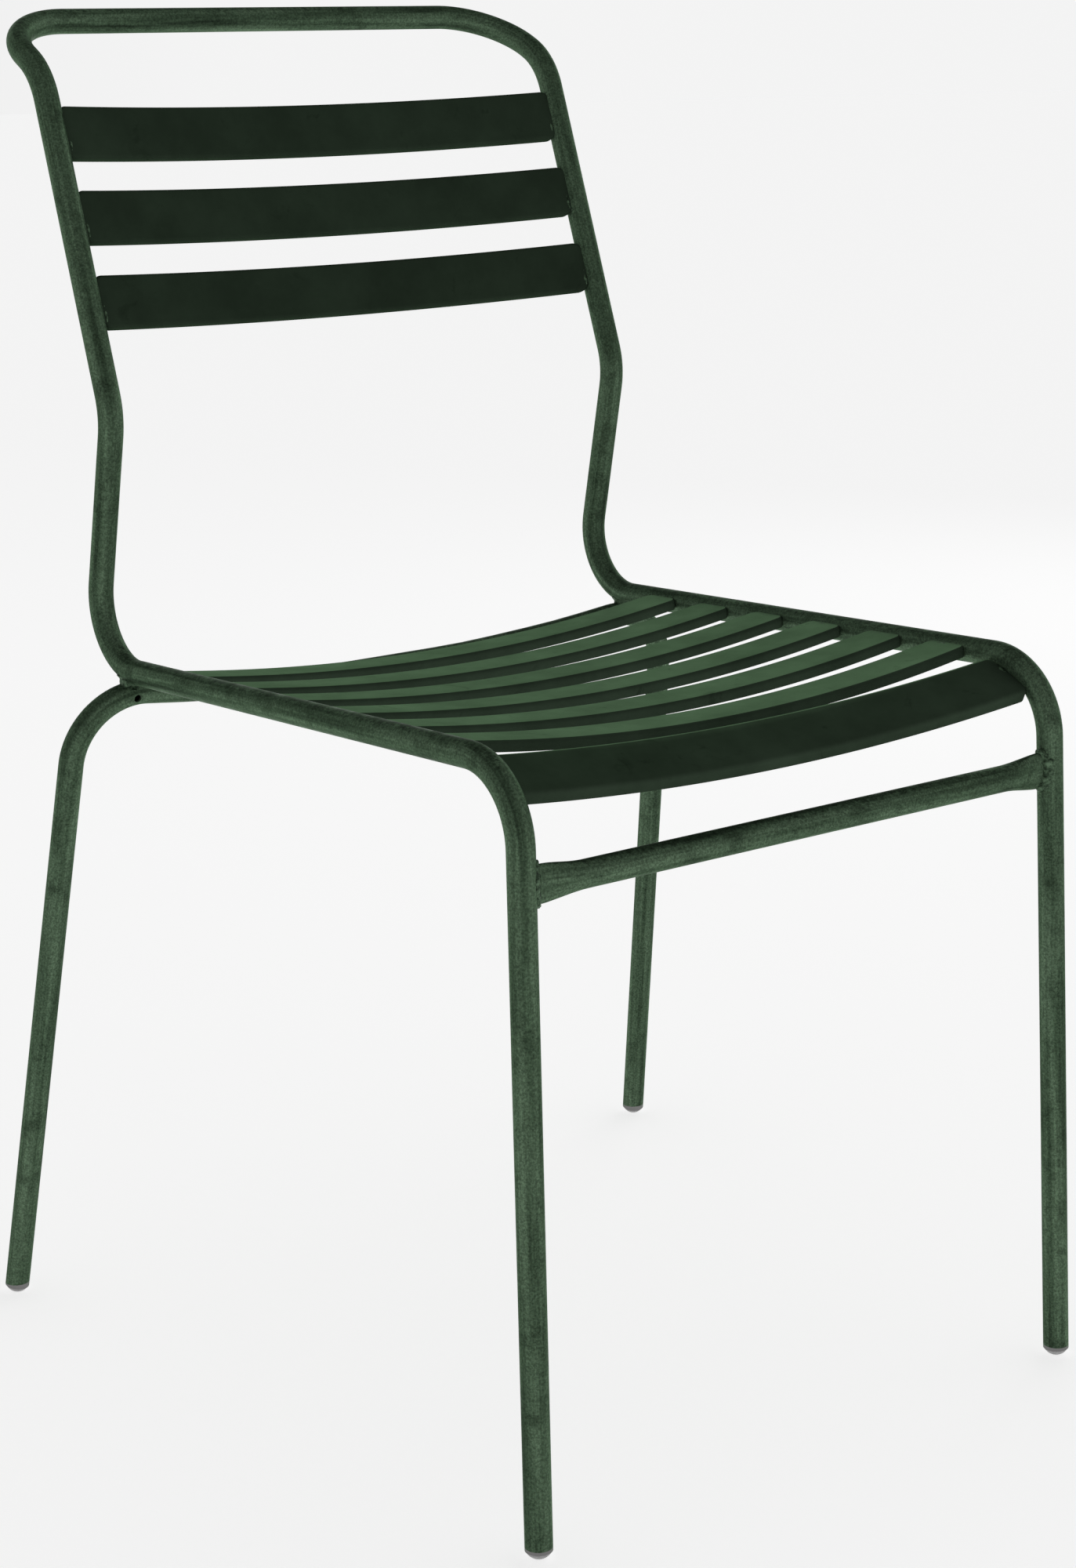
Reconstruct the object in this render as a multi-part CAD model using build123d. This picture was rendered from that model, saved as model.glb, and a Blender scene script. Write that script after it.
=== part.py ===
from build123d import *
from math import asin, atan2, cos, degrees, radians, sin, sqrt, tan
import os

# A stacking chair in welded steel tube. Millimetres, +Z up, the sitter faces -Y, and X = 0 is
# the chair's plane of symmetry. The floor is Z = 0 and the origin is under the middle of its box.

# ---- tube ----
tube_radius = 8.0
tube_wall = 1.5
weld_gap = 0.03             # clearance between parts that a weld joins
tiny_cut = 0.01             # clearance kept round a weld bead

# ---- frame, half widths at each bend, and depths behind the front feet ----
front_foot_half = 204.6
front_corner_half = 197.2
seat_back_half = 199.6
waist_half = 198.4
top_half = 196.2
front_corner_depth = 11.2
seat_back_depth = 473.3
waist_depth = 434.5
top_turn_depth = 504.8
top_rail_depth = 567.0
front_corner_height = 447.7
seat_back_height = 432.6
waist_height = 595.0
top_turn_height = 804.8
top_rail_height = 836.4
front_bend = 45.4
seat_back_bend = 42.4
waist_bend = 49.0
top_turn_bend = 46.0
top_corner_bend = 48.5

# ---- rear legs and the bowed piece that joins them under the seat ----
rear_foot_half = 267.1
rear_corner_half = 235.9
rear_foot_depth = 512.0
rear_corner_depth = 429.6
rear_corner_height = 424.6
rear_bend = 46.9
rear_bow = 17.0
rear_bow_stations = (140.0, 60.0)
rear_bow_bend = 850.0
drain_hole_radius = 2.5
drain_hole_half = 198.0
drain_hole_height = 419.0
drain_hole_tilt = 17.0

# ---- front stretcher ----
stretcher_height = 382.4
crush_length = 36.0
crush_half_height = 11.2
crush_half_thickness = 3.4
crush_steps = 6

# ---- slats, pressed from sheet ----
sheet = 1.5
slat_corner = 2.6
slat_proud = 3.9            # how far a slat's face stands above the tube's centre line
seat_slat_count = 6
seat_slat_width = 33.0
seat_slat_lip = 6.6
seat_slat_first_depth = 91.1
seat_slat_pitch = 56.5
seat_dip_front = 15.6
seat_dip_rear = 13.7
front_slat_width = 38.5
front_slat_lip = 7.6
front_slat_depth = 37.5
front_slat_height = 438.0
front_slat_tilt = 23.4
front_slat_dip = 12.8
back_slat_width = 34.4
back_slat_lip = 6.6
back_slat_proud = 2.9
back_slat_heights = (663.8, 715.6, 767.2)
back_slat_dip = 13.6

# ---- foot glides ----
dome_radius = 8.5
dome_rim = 7.7
dome_flat = 0.6             # how much of the dome the floor flat takes off
stem_radius = 6.35
stem_length = 16.0
stem_ribs = 3
stem_rib_pitch = 4.0
stem_rib_width = 1.0
stem_rib_height = 0.12

# ---- welds ----
bead_radius = 2.3
bead_stand = 0.6            # how far the stretcher's bead stands outside its flattened end
cross_weld_radius = 6.6
cross_weld_core = 1.6

tube_inner = tube_radius - tube_wall
front_y = tube_radius - (top_rail_depth + 2 * tube_radius) / 2
dome_drop = sqrt(dome_radius**2 - dome_rim**2)
dome_center_height = dome_radius - dome_flat
seat_slope = degrees(
    atan2(seat_back_height - front_corner_height, seat_back_depth - front_corner_depth)
)
back_lean = degrees(atan2(top_turn_depth - waist_depth, top_turn_height - waist_height))


def between(low, high, share):
    return low + (high - low) * share


def smooth(share):
    return share * share * (3 - 2 * share)


def place(half, depth, height):
    """A point from its half width, its depth behind the front feet and its height."""
    return Vector(half, front_y + depth, height)


# ---- centre lines ----
front_corner, seat_back_corner, waist_corner, top_turn_corner = range(1, 5)


def frame_corners(side):
    """Corners of one side of the frame, from the front foot up to the top corner."""
    turn_share = (top_turn_height - waist_height) / (top_rail_height - waist_height)
    turn_half = between(waist_half, top_half, turn_share)
    return [
        place(side * front_foot_half, 0, dome_center_height),
        place(side * front_corner_half, front_corner_depth, front_corner_height),
        place(side * seat_back_half, seat_back_depth, seat_back_height),
        place(side * waist_half, waist_depth, waist_height),
        place(side * turn_half, top_turn_depth, top_turn_height),
        place(side * top_half, top_rail_depth, top_rail_height),
    ]


def rear_corners(side):
    """Corners of one side of the rear leg tube, from its foot to the middle of the bow."""
    points = [
        place(side * rear_foot_half, rear_foot_depth, dome_center_height),
        place(side * rear_corner_half, rear_corner_depth, rear_corner_height),
    ]
    for station in rear_bow_stations:
        drop = rear_bow * (1 - (station / rear_corner_half) ** 2)
        points.append(place(side * station, rear_corner_depth, rear_corner_height - drop))
    return points


def shorten_foot(points):
    """Ends a leg where its glide's dome begins, just below the dome's centre."""
    down = (points[0] - points[1]).normalized()
    return [points[0] + down * dome_drop] + points[1:]


def bent_line(corners, bends):
    """Both sides of a mirrored centre line, as straight runs and tangent arcs."""
    left = shorten_foot(corners(-1))
    right = shorten_foot(corners(1))
    return FilletPolyline(*left, *reversed(right), radius=bends + bends[::-1])


def rod(path, radius):
    """A round bar along a line of straight runs and arcs."""
    pieces = []
    for edge in path.edges():
        section = Plane(origin=edge @ 0, z_dir=edge % 0) * Circle(radius)
        if edge.geom_type == GeomType.LINE:
            pieces.append(extrude(section, amount=edge.length, dir=edge % 0))
        else:
            spoke = (edge @ 0) - edge.arc_center
            axis = Axis(edge.arc_center, spoke.cross(edge % 0))
            turn = degrees(edge.length / edge.radius)
            pieces.append(revolve(section, axis, revolution_arc=turn))
    bar = pieces[0]
    for piece in pieces[1:]:
        bar = bar + piece
    return bar


frame_bends = [front_bend, seat_back_bend, waist_bend, top_turn_bend, top_corner_bend]
rear_bends = [rear_bend] + [rear_bow_bend] * len(rear_bow_stations)
frame_line = bent_line(frame_corners, frame_bends)
rear_line = bent_line(rear_corners, rear_bends)
frame_bar = rod(frame_line, tube_radius)
rear_bar = rod(rear_line, tube_radius)


def frame_tube():
    return frame_bar - rod(frame_line, tube_inner)


def drain_hole(side):
    """Lets the galvanising bath out of the closed end of the bowed piece."""
    start = place(side * drain_hole_half, rear_corner_depth, drain_hole_height)
    aim = Vector(0, -cos(radians(drain_hole_tilt)), -sin(radians(drain_hole_tilt)))
    drill = Plane(origin=start, z_dir=aim) * Circle(drain_hole_radius)
    return extrude(drill, amount=2 * tube_radius)


def rear_leg_tube():
    tube = rear_bar - rod(rear_line, tube_inner)
    for side in (-1, 1):
        tube = tube - drain_hole(side)
    return tube


# ---- front stretcher ----
def leg_at(height, side):
    """Where the centre line of a front leg passes a height."""
    foot, corner = frame_corners(side)[:2]
    share = (height - foot.Z) / (corner.Z - foot.Z)
    return foot + (corner - foot) * share


def crushed_end(side, inset):
    """One end of the stretcher, pressed from round to flat, out to the leg's centre line."""
    end = leg_at(stretcher_height, side)
    far = abs(end.X) - tube_radius / 2
    near = far - crush_length
    sections = []
    for step in range(crush_steps):
        share = step / (crush_steps - 1)
        tall = between(tube_radius, crush_half_height, smooth(share)) - inset
        thin = between(tube_radius, crush_half_thickness, smooth(share)) - inset
        station = Vector(side * between(near, far, share), end.Y, end.Z)
        plane = Plane(origin=station, x_dir=(0, 1, 0), z_dir=(side, 0, 0))
        sections.append(plane * Ellipse(thin, tall))
    return loft(sections)


def stretcher_bar(inset):
    end = leg_at(stretcher_height, 1)
    half = end.X - tube_radius / 2 - crush_length
    middle = Plane(origin=(-half, end.Y, end.Z), z_dir=(1, 0, 0)) * Circle(tube_radius - inset)
    return extrude(middle, amount=2 * half) + crushed_end(-1, inset) + crushed_end(1, inset)


def leg_cutter(side, radius):
    foot, corner = frame_corners(side)[:2]
    upward = (corner - foot).normalized()
    low = leg_at(stretcher_height, side) - upward * 2 * crush_length
    return extrude(Plane(origin=low, z_dir=upward) * Circle(radius), amount=4 * crush_length)


def front_stretcher():
    tube = stretcher_bar(0) - stretcher_bar(tube_wall)
    for side in (-1, 1):
        tube = tube - leg_cutter(side, tube_radius + weld_gap)
    return tube


# ---- slats ----
def slat_section(width, lip):
    """A shallow channel in the YZ plane, its face at Z = 0 and its lips turned down."""
    half = width / 2
    outer = Polygon(
        (-half, 0), (half, 0), (half, -lip), (-half, -lip), align=None
    )
    outer = fillet(outer.vertices().filter_by(lambda v: v.Y > -lip / 2), slat_corner)
    inner = Polygon(
        (sheet - half, -sheet),
        (half - sheet, -sheet),
        (half - sheet, -2 * lip),
        (sheet - half, -2 * lip),
        align=None,
    )
    inner = fillet(inner.vertices().filter_by(lambda v: v.Y > -lip), slat_corner - sheet)
    return Plane.YZ * (outer - inner)


def bowed_slat(width, lip, dip, half_length):
    """A slat bent along its length, its ends at Z = 0 and its middle lower by the dip."""
    bend = (half_length**2 + dip**2) / (2 * dip)
    half_turn = degrees(asin(half_length / bend))
    axis = Axis((0, 0, bend - dip), (0, 1, 0))
    section = Pos(0, 0, -dip) * slat_section(width, lip)
    start = section.rotate(axis, half_turn)
    return revolve(start, axis, revolution_arc=-2 * half_turn)


def straight_cutter(first, last, side):
    """A square bar round one straight run of the frame, to shear the slat ends flush with it."""
    corners = frame_corners(side)
    low, high = corners[first], corners[last]
    run = high - low
    plane = Plane(origin=low, x_dir=(side, 0, 0), z_dir=run)
    outline = Rectangle(2 * (tube_radius + weld_gap), 4 * tube_radius)
    return extrude(plane * outline, amount=run.length)


def fit_between(slat, where, tilt, first, last):
    """Puts a slat in its place and copes its ends to a straight run of each side."""
    fitted = Location(where, (tilt, 0, 0)) * slat
    for side in (-1, 1):
        fitted = fitted - straight_cutter(first, last, side)
    return fitted


def rail_height(depth):
    return front_corner_height + (depth - front_corner_depth) * tan(radians(seat_slope))


def seat_slat_place(number):
    """Middle of a seat slat's face at its ends, with number 0 nearest the front."""
    depth = seat_slat_first_depth + number * seat_slat_pitch
    rise = slat_proud / cos(radians(seat_slope))
    return place(0, depth, rail_height(depth) + rise)


def seat_slat(number):
    dip = between(seat_dip_front, seat_dip_rear, number / (seat_slat_count - 1))
    slat = bowed_slat(seat_slat_width, seat_slat_lip, dip, front_corner_half - tube_inner / 2)
    return fit_between(slat, seat_slat_place(number), seat_slope, front_corner, seat_back_corner)


def front_slat():
    slat = bowed_slat(front_slat_width, front_slat_lip, front_slat_dip, front_corner_half)
    where = place(0, front_slat_depth, front_slat_height)
    return Location(where, (front_slat_tilt, 0, 0)) * slat - rod(frame_line, tube_radius + weld_gap)


def back_slat_place(height):
    depth = waist_depth + (height - waist_height) * tan(radians(back_lean))
    forward = back_slat_proud * cos(radians(back_lean))
    upward = back_slat_proud * sin(radians(back_lean))
    return place(0, depth - forward, height + upward)


def back_slat(height):
    slat = bowed_slat(back_slat_width, back_slat_lip, back_slat_dip, top_half - tube_inner / 2)
    return fit_between(slat, back_slat_place(height), 90 - back_lean, waist_corner, top_turn_corner)


# ---- foot glides ----
def foot_glide(corners, side):
    """A moulded plug: a ribbed stem up the tube and a domed foot, flat where it stands."""
    foot, corner = corners(side)[:2]
    down = (foot - corner).normalized()
    axis_plane = Plane(origin=foot, z_dir=down)
    ball = Pos(*foot) * Sphere(dome_radius)
    cap = extrude(axis_plane.offset(dome_drop) * Circle(dome_rim), amount=dome_radius)
    dome = ball & cap
    floor_block = Pos(foot.X, foot.Y, -dome_radius) * Box(
        4 * dome_radius, 4 * dome_radius, 2 * dome_radius
    )
    dome = dome - floor_block
    root = axis_plane.offset(dome_drop)
    stem = extrude(root * Circle(stem_radius), amount=-stem_length)
    for rib in range(stem_ribs):
        level = axis_plane.offset(dome_drop - stem_length + (rib + 0.5) * stem_rib_pitch)
        ring = extrude(level * Circle(stem_radius + stem_rib_height), amount=stem_rib_width)
        stem = stem + ring
    return dome + stem


# ---- weld beads ----
def biggest(shape):
    """The bead itself, without the crumbs that trimming can leave beside it."""
    return max(shape.solids(), key=lambda solid: solid.volume)


def slat_bead(where, tilt, proud, width, slat, side, half):
    """A short fillet weld under a slat's end, in the corner with the tube."""
    across = sqrt(tube_radius**2 - (proud - sheet) ** 2)
    center = Vector(side * (half - across), 0, -sheet - bead_radius / 3)
    length = width - 4 * slat_corner
    bar = Pos(center.X, length / 2, center.Z) * Rot(90, 0, 0) * Cylinder(
        bead_radius, length, align=(Align.CENTER, Align.CENTER, Align.MIN)
    )
    bead = Location(where, (tilt, 0, 0)) * bar
    bead = bead - frame_trim_bar
    return biggest(bead - slat)


def both_ends(where, tilt, proud, width, slat, half):
    return [slat_bead(where, tilt, proud, width, slat, side, half) for side in (-1, 1)]


def seat_slat_welds(slats):
    beads = []
    for number, slat in enumerate(slats):
        where = seat_slat_place(number)
        share = (where.Y - front_y - front_corner_depth) / (seat_back_depth - front_corner_depth)
        half = between(front_corner_half, seat_back_half, share)
        beads += both_ends(where, seat_slope, slat_proud, seat_slat_width, slat, half)
    return beads


def back_slat_welds(slats):
    beads = []
    for height, slat in zip(back_slat_heights, slats):
        share = (height - waist_height) / (top_rail_height - waist_height)
        half = between(waist_half, top_half, share)
        where = back_slat_place(height)
        beads += both_ends(where, 90 - back_lean, back_slat_proud, back_slat_width, slat, half)
    return beads


def front_slat_welds(slat):
    where = place(0, front_slat_depth, front_slat_height)
    return both_ends(
        where, front_slat_tilt, sheet, front_slat_width - 4 * slat_corner, slat, front_corner_half
    )


def left_stretcher_weld():
    """A bead all round the flattened end of the stretcher, on the left front leg."""
    end = leg_at(stretcher_height, -1)
    station = Vector(end.X + tube_radius - bead_radius / 4, end.Y, end.Z)
    plane = Plane(origin=station, x_dir=(0, 1, 0), z_dir=(-1, 0, 0))
    outline = Ellipse(crush_half_thickness + bead_stand, crush_half_height + bead_stand)
    loop = plane * outline.edge()
    section = Plane(origin=loop @ 0, z_dir=loop % 0) * Circle(bead_radius)
    ring = sweep(section, loop)
    ring = ring - leg_cutter(-1, tube_radius + tiny_cut)
    return biggest(ring - stretcher_bar(0))


def rear_weld(side):
    """Weld metal in the crevice where a seat rail lies across the bowed piece."""
    share = (rear_corner_depth - front_corner_depth) / (seat_back_depth - front_corner_depth)
    half = between(front_corner_half, seat_back_half, share)
    low = place(side * half, rear_corner_depth, rear_corner_height - tube_radius)
    height = 3 * tube_radius
    ring = Circle(cross_weld_radius) - Circle(cross_weld_core)
    plug = extrude(Plane(origin=low, z_dir=(0, 0, 1)) * ring, amount=height)
    plug = plug - frame_trim_bar
    return biggest(plug - rear_trim_bar)


frame_trim_bar = rod(frame_line, tube_radius + tiny_cut)
rear_trim_bar = rod(rear_line, tube_radius + tiny_cut)


# ---- write one file for each named piece ----
def write(name, solids):
    shape = solids if isinstance(solids, (Part, Solid)) else Compound(children=list(solids))
    shape.label = name
    export_step(shape, f"parts/{name}.step")


os.makedirs("parts", exist_ok=True)
write("frame_tube", frame_tube())
write("rear_leg_tube", rear_leg_tube())
write("front_stretcher", front_stretcher())

seat_slats = [seat_slat(number) for number in range(seat_slat_count)]
for number, slat in enumerate(seat_slats):
    write(f"seat_slat_{number + 1}", slat)
the_front_slat = front_slat()
write("front_slat", the_front_slat)
back_slats = [back_slat(height) for height in back_slat_heights]
for name, slat in zip(("bottom", "middle", "top"), back_slats):
    write(f"back_slat_{name}", slat)

for side, word in ((-1, "left"), (1, "right")):
    write(f"front_{word}_foot_glide", foot_glide(frame_corners, side))
    write(f"rear_{word}_foot_glide", foot_glide(rear_corners, side))
    write(f"rear_leg_{word}_weld", rear_weld(side))
stretcher_bead = left_stretcher_weld()
write("stretcher_left_weld", stretcher_bead)
write("stretcher_right_weld", mirror(stretcher_bead, about=Plane.YZ))
write("seat_slat_welds", seat_slat_welds(seat_slats))
write("back_slat_welds", back_slat_welds(back_slats))
write("front_slat_welds", front_slat_welds(the_front_slat))
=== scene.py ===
import math

import bmesh
import bpy
from mathutils import Matrix, Vector, noise


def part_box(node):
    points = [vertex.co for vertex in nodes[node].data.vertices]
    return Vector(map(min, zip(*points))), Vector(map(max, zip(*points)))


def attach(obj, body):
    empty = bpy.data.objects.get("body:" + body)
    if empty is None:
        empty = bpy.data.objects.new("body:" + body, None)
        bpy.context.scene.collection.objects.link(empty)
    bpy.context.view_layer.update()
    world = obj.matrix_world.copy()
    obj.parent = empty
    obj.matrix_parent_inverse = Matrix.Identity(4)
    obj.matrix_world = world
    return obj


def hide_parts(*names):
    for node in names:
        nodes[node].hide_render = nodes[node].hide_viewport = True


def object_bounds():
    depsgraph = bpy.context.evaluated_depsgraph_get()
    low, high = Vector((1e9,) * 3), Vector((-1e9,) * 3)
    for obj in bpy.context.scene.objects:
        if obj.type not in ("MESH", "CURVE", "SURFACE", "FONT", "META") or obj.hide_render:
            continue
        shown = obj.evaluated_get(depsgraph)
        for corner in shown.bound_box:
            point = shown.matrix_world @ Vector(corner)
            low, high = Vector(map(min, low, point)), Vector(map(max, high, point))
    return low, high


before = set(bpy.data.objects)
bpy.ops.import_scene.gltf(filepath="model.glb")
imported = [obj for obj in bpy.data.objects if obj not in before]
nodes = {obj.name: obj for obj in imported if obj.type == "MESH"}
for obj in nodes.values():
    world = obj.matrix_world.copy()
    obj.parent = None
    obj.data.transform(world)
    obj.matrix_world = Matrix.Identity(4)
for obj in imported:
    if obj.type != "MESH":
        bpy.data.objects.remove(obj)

cad_low, cad_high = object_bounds()

# A stacking chair in welded steel tube, painted green. Metres, +Z up, the sitter faces -Y.
MM = 0.001

# ---- tube stock ----
TUBE_RADIUS = 8 * MM
TUBE_WALL = 1.5 * MM
TUBE_SIDES = 48
MERGE_GAP = 0.002 * MM        # points closer than this are one point
BEND_STEP = math.radians(4)   # the longest turn that one ring of the mesh takes
RUN_STEP = 40 * MM            # the longest straight stretch between two rings

# ---- frame tube ----
# Each corner has its half width, depth behind the front feet, height and bend radius, in mm.
frame_low, frame_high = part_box("frame_tube")
front_y = frame_low.y + TUBE_RADIUS
top_rail_z = frame_high.z - TUBE_RADIUS
top_rail_y = frame_high.y - TUBE_RADIUS
FRONT_FOOT = (204.6, 0.0)
FRAME_CORNERS = (
    (197.2, 11.2, 447.7, 45.4),
    (199.6, 473.3, 432.6, 42.4),
    (198.4, 434.5, 595.0, 49.0),
    (196.7, 504.8, 804.8, 46.0),
)
TOP_CORNER_HALF = 196.2
TOP_CORNER_BEND = 48.5

# ---- rear leg tube, in mm ----
REAR_FOOT = (267.1, 512.0)
REAR_CORNER = (235.9, 429.6, 424.6, 46.9)
REAR_BOW = 17.0               # how far the cross piece sags in its middle
REAR_BOW_STATIONS = (140.0, 60.0)
REAR_BOW_BEND = 850.0
DRAIN_HOLE = (198.0, 429.8, 419.0)
DRAIN_HOLE_TILT = math.radians(17)
DRAIN_HOLE_RADIUS = 2.5 * MM
DRAIN_HOLE_SIDES = 28

# ---- front stretcher ----
STRETCHER_Z = 382.4 * MM
CRUSH_LENGTH = 36 * MM
CRUSH_TALL = 11.2 * MM        # half height of the pressed end
CRUSH_THIN = 3.4 * MM         # half thickness of the pressed end
CRUSH_STEPS = 14
CRUSH_LANDING = 4 * MM        # the last stretch, which is fully pressed
STRETCHER_BITE = 2 * MM       # how far it reaches into the side of a leg
MIDDLE_RINGS = 3              # rings on each side of the middle, between the pressed ends

# ---- slats: sizes are width and lip depth, in mm ----
SHEET = 1.5 * MM
SLAT_CORNER = 2.6 * MM
CORNER_SEGMENTS = 6
SLAT_STEPS = 40
SEAT_SLATS = 6
SEAT_SLAT_SIZE = (33.0, 6.6)
SEAT_SLAT_FIRST = 91.1        # depth of the first slat behind the front feet
SEAT_SLAT_PITCH = 56.5
SEAT_DIPS = (15.6, 13.7)      # dish of the first slat and of the last
SLAT_PROUD = 3.9
FRONT_SLAT_SIZE = (38.5, 7.6)
FRONT_SLAT_PLACE = (37.5, 438.0)
FRONT_SLAT_TILT = 23.4
FRONT_SLAT_DIP = 12.8
BACK_SLAT_SIZE = (34.4, 6.6)
BACK_SLAT_PROUD = 2.9
BACK_SLAT_HEIGHTS = (663.8, 715.6, 767.2)
BACK_SLAT_DIP = 13.6
SLAT_END = 190.8              # half length of a slat, just inside the wall of the tube
SEAT_SLAT_EXTRA = 0.8         # a seat slat reaches this much further into the rail
END_CORNER = 5 * MM
END_STEPS = 5
FOLD_ANGLE = math.radians(60)   # an edge that turns more than this is a fold of the sheet

# ---- welds ----
BEAD_RADIUS = 2.4 * MM        # round the end of the stretcher
BEAD_OUT = 1.0 * MM           # how far that bead stands outside the pressed tube
BEAD_PINCH = 0.72             # thins the bead across the leg
BEAD_SINK = 0.2 * MM
BEAD_SIDES = 14
BEAD_STEPS = 96
WEB_RISE = 4.4 * MM           # half height of the metal between rail and cross piece
WEB_WAIST = 6.0 * MM
WEB_FLARE = 1.4 * MM
WEB_LEVELS = 12
WEB_SIDES = 40
# How far a bead's lumps stand out, and how many lumps there are to a metre.
BEAD_LUMPS = (2.2 * MM, 260)
WEB_LUMPS = (1.3 * MM, 260)
SLAT_LUMPS = (0.8 * MM, 300)
SLAT_BEADS = (
    ("seat_slat_welds", 1.9 * MM),
    ("back_slat_welds", 1.4 * MM),
    ("front_slat_welds", 1.9 * MM),
)

# ---- foot glides ----
FOOT_CENTER_Z = 7.9 * MM      # height of the centre of a glide's dome
DOME_DROP = 3.6 * MM          # the tube ends this far below that centre
DOME_RADIUS = 8.5 * MM
COLLAR_RADIUS = 7.4 * MM
COLLAR_RISE = 0.35 * MM
STEM_RADIUS = 6.3 * MM
STEM_TAPER = 0.3 * MM
STEM_LENGTH = 14 * MM

# ---- smoothing: the sharpest turn that still looks round, in degrees ----
TUBE_CREASE = 40
BEAD_CREASE = 80
GLIDE_CREASE = 35

# ---- studio ----
FLOOR_GLOW = 0.64
FRONT_WALL = 0.45
LEFT_WALL = 0.45
RIGHT_WALL = 1.0
WALL_LIGHT = (
    (0.00, (0.90, 0.90, 0.90)),
    (0.30, (0.90, 0.90, 0.90)),
    (0.55, (0.42, 0.42, 0.42)),
    (0.85, (0.34, 0.34, 0.34)),
)
SOFTBOX_PLACE = (2.6, 1.2, 1.6)
SOFTBOX_SIZE = (1.6, 1.6)
SOFTBOX_POWER = 5
FLOOR_SIZE = 60
FLOOR_WHITE = (0.80, 0.80, 0.80)
CAMERA_PLACE = (-1.0469, 1.1674, 0.8034)   # across, in front of the front feet, height
CAMERA_ANGLES = (-36.29, 13.94, -1.29)     # azimuth, elevation and roll, in degrees
CAMERA_SENSOR = 36
CAMERA_LENS = 65.87
CAMERA_SHIFT = (-0.0033, -0.0056)
CAMERA_REACH = 60


def place(half, depth, height):
    """A point from millimetres: half width, depth behind the front feet, height."""
    return Vector((half * MM, front_y + depth * MM, height * MM))


# ---------------------------------------------------------------- materials
def shader(name, color, roughness):
    """A new material with its node tree and its shader."""
    material = bpy.data.materials.new(name)
    material.use_nodes = True
    tree = material.node_tree
    paint = tree.nodes["Principled BSDF"]
    paint.inputs["Base Color"].default_value = (*color, 1)
    paint.inputs["Roughness"].default_value = roughness
    return material, tree, paint


def add(tree, kind, **settings):
    """A new node whose settings are socket values, or else properties."""
    node = tree.nodes.new(kind)
    for key, value in settings.items():
        if key in node.inputs:
            node.inputs[key].default_value = value
        else:
            setattr(node, key, value)
    return node


def cloud(tree, where, scale, detail, rough=0.55, warp=0.0):
    """Soft noise at a scale given in waves per metre."""
    node = add(tree, "ShaderNodeTexNoise", Scale=scale, Detail=detail, Roughness=rough, Distortion=warp)
    tree.links.new(where, node.inputs["Vector"])
    return node.outputs["Fac"]


def ramp(tree, value, stops):
    """Turns a value into a colour through two or more stops."""
    node = add(tree, "ShaderNodeValToRGB")
    points = node.color_ramp.elements
    while len(points) < len(stops):
        points.new(0.5)
    for point, (position, color) in zip(points, stops):
        point.position = position
        point.color = (*color, 1)
    tree.links.new(value, node.inputs["Fac"])
    return node.outputs["Color"]


def blend(tree, share, first, second, mode="MIX"):
    """Mixes two colours; each input is a number, a colour or another node's output."""
    node = add(tree, "ShaderNodeMix", data_type="RGBA", blend_type=mode)
    for socket, value in ((0, share), (6, first), (7, second)):
        if isinstance(value, bpy.types.NodeSocket):
            tree.links.new(value, node.inputs[socket])
        elif socket:
            node.inputs[socket].default_value = (*value, 1)
        else:
            node.inputs[socket].default_value = value
    return node.outputs[2]


def between(tree, value, low, high, out_low=0.0, out_high=1.0):
    """Turns the stretch from low to high into out_low to out_high, and holds the ends."""
    node = add(tree, "ShaderNodeMapRange")
    keys = ("From Min", "From Max", "To Min", "To Max")
    for key, number in zip(keys, (low, high, out_low, out_high)):
        node.inputs[key].default_value = number
    tree.links.new(value, node.inputs["Value"])
    return node.outputs["Result"]


def bump(tree, paint, height, depth, strength):
    """Roughens the surface by a height pattern of the given depth."""
    node = add(tree, "ShaderNodeBump", Distance=depth, Strength=strength)
    tree.links.new(height, node.inputs["Height"])
    tree.links.new(node.outputs["Normal"], paint.inputs["Normal"])


def object_place(tree):
    return add(tree, "ShaderNodeTexCoord").outputs["Object"]


def tube_place(tree, along_share):
    """A place on a bent tube: round it, and along it at a share of the true distance."""
    ring = add(tree, "ShaderNodeAttribute", attribute_name="round")
    run = add(tree, "ShaderNodeAttribute", attribute_name="along")
    scaled = add(tree, "ShaderNodeMath", operation="MULTIPLY")
    scaled.inputs[1].default_value = along_share
    tree.links.new(run.outputs["Fac"], scaled.inputs[0])
    split = add(tree, "ShaderNodeSeparateXYZ")
    tree.links.new(ring.outputs["Vector"], split.inputs[0])
    join = add(tree, "ShaderNodeCombineXYZ")
    tree.links.new(split.outputs["X"], join.inputs["X"])
    tree.links.new(split.outputs["Y"], join.inputs["Y"])
    tree.links.new(scaled.outputs[0], join.inputs["Z"])
    return join.outputs[0]


def facing_up(tree):
    """How far the surface faces up, from -1 to 1."""
    geometry = add(tree, "ShaderNodeNewGeometry")
    split = add(tree, "ShaderNodeSeparateXYZ")
    tree.links.new(geometry.outputs["Normal"], split.inputs[0])
    return split.outputs["Z"]


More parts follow.
